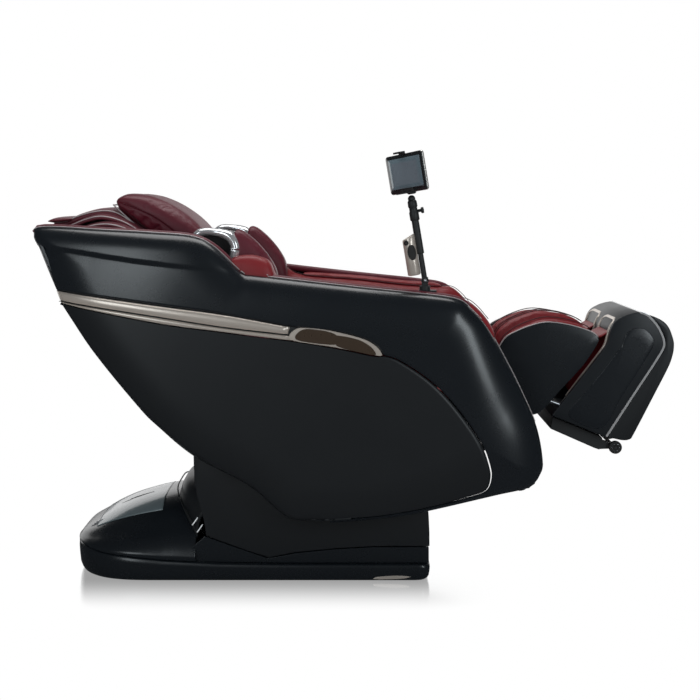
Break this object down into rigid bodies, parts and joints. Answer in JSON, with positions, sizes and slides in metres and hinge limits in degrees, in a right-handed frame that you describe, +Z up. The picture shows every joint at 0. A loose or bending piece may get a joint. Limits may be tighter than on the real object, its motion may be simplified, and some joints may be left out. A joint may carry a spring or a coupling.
{
  "type": "reclining massage chair",
  "caption": "Full-body reclining massage chair with a tilting body on a sliding base, a leg rest with sliding foot unit, a travelling kneading mechanism and a tablet stand.",
  "frame": {"origin": "on the floor, under the middle of the chair's bounding box", "axes": "+X towards the feet, +Y towards the user's left side, +Z up"},
  "size_m": [1.912, 0.8463, 1.2949],
  "materials": {
    "gloss_black": "gloss",
    "satin_charcoal": "satin",
    "champagne_trim": "satin",
    "chrome_trim": "polished",
    "burgundy_leather": "satin",
    "cushion_core": "satin",
    "frame_steel": "satin",
    "bright_steel": "satin",
    "black_rubber": "matte",
    "black_plastic": "matte",
    "tablet_gloss": "gloss"
  },
  "bodies": {
    "base": {"base_tray": "gloss_black", "nose_cover": "gloss_black", "boot_collar": "satin_charcoal", "pedestal_skirt_left": "satin_charcoal", "pedestal_skirt_right": "satin_charcoal", "slide_rail_left": "bright_steel", "slide_rail_right": "bright_steel", "rear_cover": "satin_charcoal", "front_cover": "satin_charcoal", "air_pump": "black_plastic", "power_inlet": "black_plastic"},
    "switch": {"power_switch": "black_plastic"},
    "carriage": {"carriage": "frame_steel", "pivot_shaft": "bright_steel"},
    "motor": {"recline_tube": "frame_steel"},
    "rod": {"recline_rod": "bright_steel"},
    "body": {"side_shell_left": "gloss_black", "side_shell_right": "gloss_black", "side_panel_left": "satin_charcoal", "side_panel_right": "satin_charcoal", "trim_strip_left": "champagne_trim", "trim_strip_right": "champagne_trim", "back_shell": "gloss_black", "seat_frame_left": "frame_steel", "seat_frame_right": "frame_steel", "cross_member": "frame_steel", "seat_pan": "frame_steel", "seat_cushion": "cushion_core", "back_cushion": "cushion_core", "head_pad": "cushion_core", "head_pillow": "cushion_core", "shoulder_unit_left": "cushion_core", "shoulder_unit_right": "cushion_core", "arm_liner_left": "cushion_core", "arm_liner_right": "cushion_core", "track_rail_left": "bright_steel", "track_rail_right": "bright_steel", "stand_bracket": "frame_steel"},
    "mechanism": {"mech_carriage": "frame_steel"},
    "kneader_left": {"knead_wheel_left": "black_rubber"},
    "kneader_right": {"knead_wheel_right": "black_rubber"},
    "legrest": {"calf_side_left": "gloss_black", "calf_side_right": "gloss_black", "calf_tray": "black_plastic", "calf_pad_left": "cushion_core", "calf_pad_centre": "cushion_core", "calf_pad_right": "cushion_core"},
    "foot": {"foot_box": "gloss_black", "sole_plate": "satin_charcoal", "foot_rail": "black_plastic"},
    "roller": {"sole_roller": "black_rubber"},
    "wheel_left": {"foot_wheel_left": "black_rubber"},
    "wheel_right": {"foot_wheel_right": "black_rubber"},
    "stand_base": {"stand_knob": "frame_steel"},
    "pole": {"stand_pole": "frame_steel", "grip_holder": "champagne_trim"},
    "barrel": {"tablet_joint": "frame_steel"},
    "tablet": {"tablet_clamp": "black_plastic", "tablet_body": "tablet_gloss"},
    "jaw": {"tablet_jaw": "black_plastic"}
  },
  "joints": [
    {"name": "switch_rock", "type": "hinge", "parent": "base", "child": "switch", "pos_m": [-0.5015, 0.045, 0.345], "axis": [0, 1, 0], "range_deg": [0, 5]},
    {"name": "seat_slide", "type": "slide", "parent": "base", "child": "carriage", "axis": [1, 0, 0], "range_m": [-0.101, 0.036]},
    {"name": "body_tilt", "type": "hinge", "parent": "carriage", "child": "body", "pos_m": [-0.12, 0, 0.33], "axis": [0, 1, 0], "range_deg": [-6, 17]},
    {"name": "recline_motor_turn", "type": "hinge", "parent": "carriage", "child": "motor", "pos_m": [0.02, 0, 0.118], "axis": [0, 1, 0], "range_deg": [-3.1, 8.6]},
    {"name": "recline_rod_slide", "type": "slide", "parent": "motor", "child": "rod", "axis": [-0.803, 0, 0.5959], "range_m": [-0.008, 0.0225]},
    {"name": "massage_travel", "type": "hinge", "parent": "body", "child": "mechanism", "pos_m": [0.15, 0, 1.357], "axis": [0, 1, 0], "range_deg": [-10, 26]},
    {"name": "knead_left", "type": "hinge", "parent": "mechanism", "child": "kneader_left", "pos_m": [-0.33011, 0, 0.58867], "axis": [0, 1, 0], "continuous": true},
    {"name": "knead_right", "type": "hinge", "parent": "mechanism", "child": "kneader_right", "pos_m": [-0.33011, 0, 0.58867], "axis": [0, 1, 0], "continuous": true},
    {"name": "legrest_lift", "type": "hinge", "parent": "body", "child": "legrest", "pos_m": [0.41, 0, 0.66], "axis": [0, -1, 0], "range_deg": [-38, 10]},
    {"name": "foot_extension", "type": "slide", "parent": "legrest", "child": "foot", "axis": [0.9367, 0, -0.3502], "range_m": [0, 0.12]},
    {"name": "roller_spin", "type": "hinge", "parent": "foot", "child": "roller", "pos_m": [0.778, 0, 0.59], "axis": [0, 1, 0], "continuous": true},
    {"name": "wheel_left_spin", "type": "hinge", "parent": "foot", "child": "wheel_left", "pos_m": [0.792, 0.19, 0.394], "axis": [0, 1, 0], "continuous": true},
    {"name": "wheel_right_spin", "type": "hinge", "parent": "foot", "child": "wheel_right", "pos_m": [0.792, -0.19, 0.394], "axis": [0, 1, 0], "continuous": true},
    {"name": "stand_swivel", "type": "hinge", "parent": "body", "child": "stand_base", "pos_m": [0.192, -0.335, 0.9184], "axis": [0, 0, 1], "range_deg": [-60, 60]},
    {"name": "stand_tilt", "type": "hinge", "parent": "stand_base", "child": "pole", "pos_m": [0.192, -0.335, 0.91842], "axis": [0, 1, 0], "range_deg": [-25, 35]},
    {"name": "tablet_swivel", "type": "hinge", "parent": "pole", "child": "barrel", "pos_m": [0.15006, -0.335, 1.1664], "axis": [-0.1668, 0, 0.986], "range_deg": [-90, 90]},
    {"name": "tablet_tilt", "type": "hinge", "parent": "barrel", "child": "tablet", "pos_m": [0.1513, -0.33286, 1.17929], "axis": [0.5278, -0.8447, 0.0893], "range_deg": [-20, 20]},
    {"name": "jaw_slide", "type": "slide", "parent": "tablet", "child": "jaw", "axis": [-0.1668, 0, 0.986], "range_m": [0, 0.02], "stiffness_N_per_m": 400, "springref_m": -0.01}
  ],
  "couplings": [
    {"joint": "seat_slide", "follows": "body_tilt", "m_per_rad": -0.337},
    {"joint": "recline_motor_turn", "follows": "body_tilt", "ratio": 0.4956},
    {"joint": "recline_rod_slide", "follows": "body_tilt", "m_per_rad": 0.074}
  ]
}
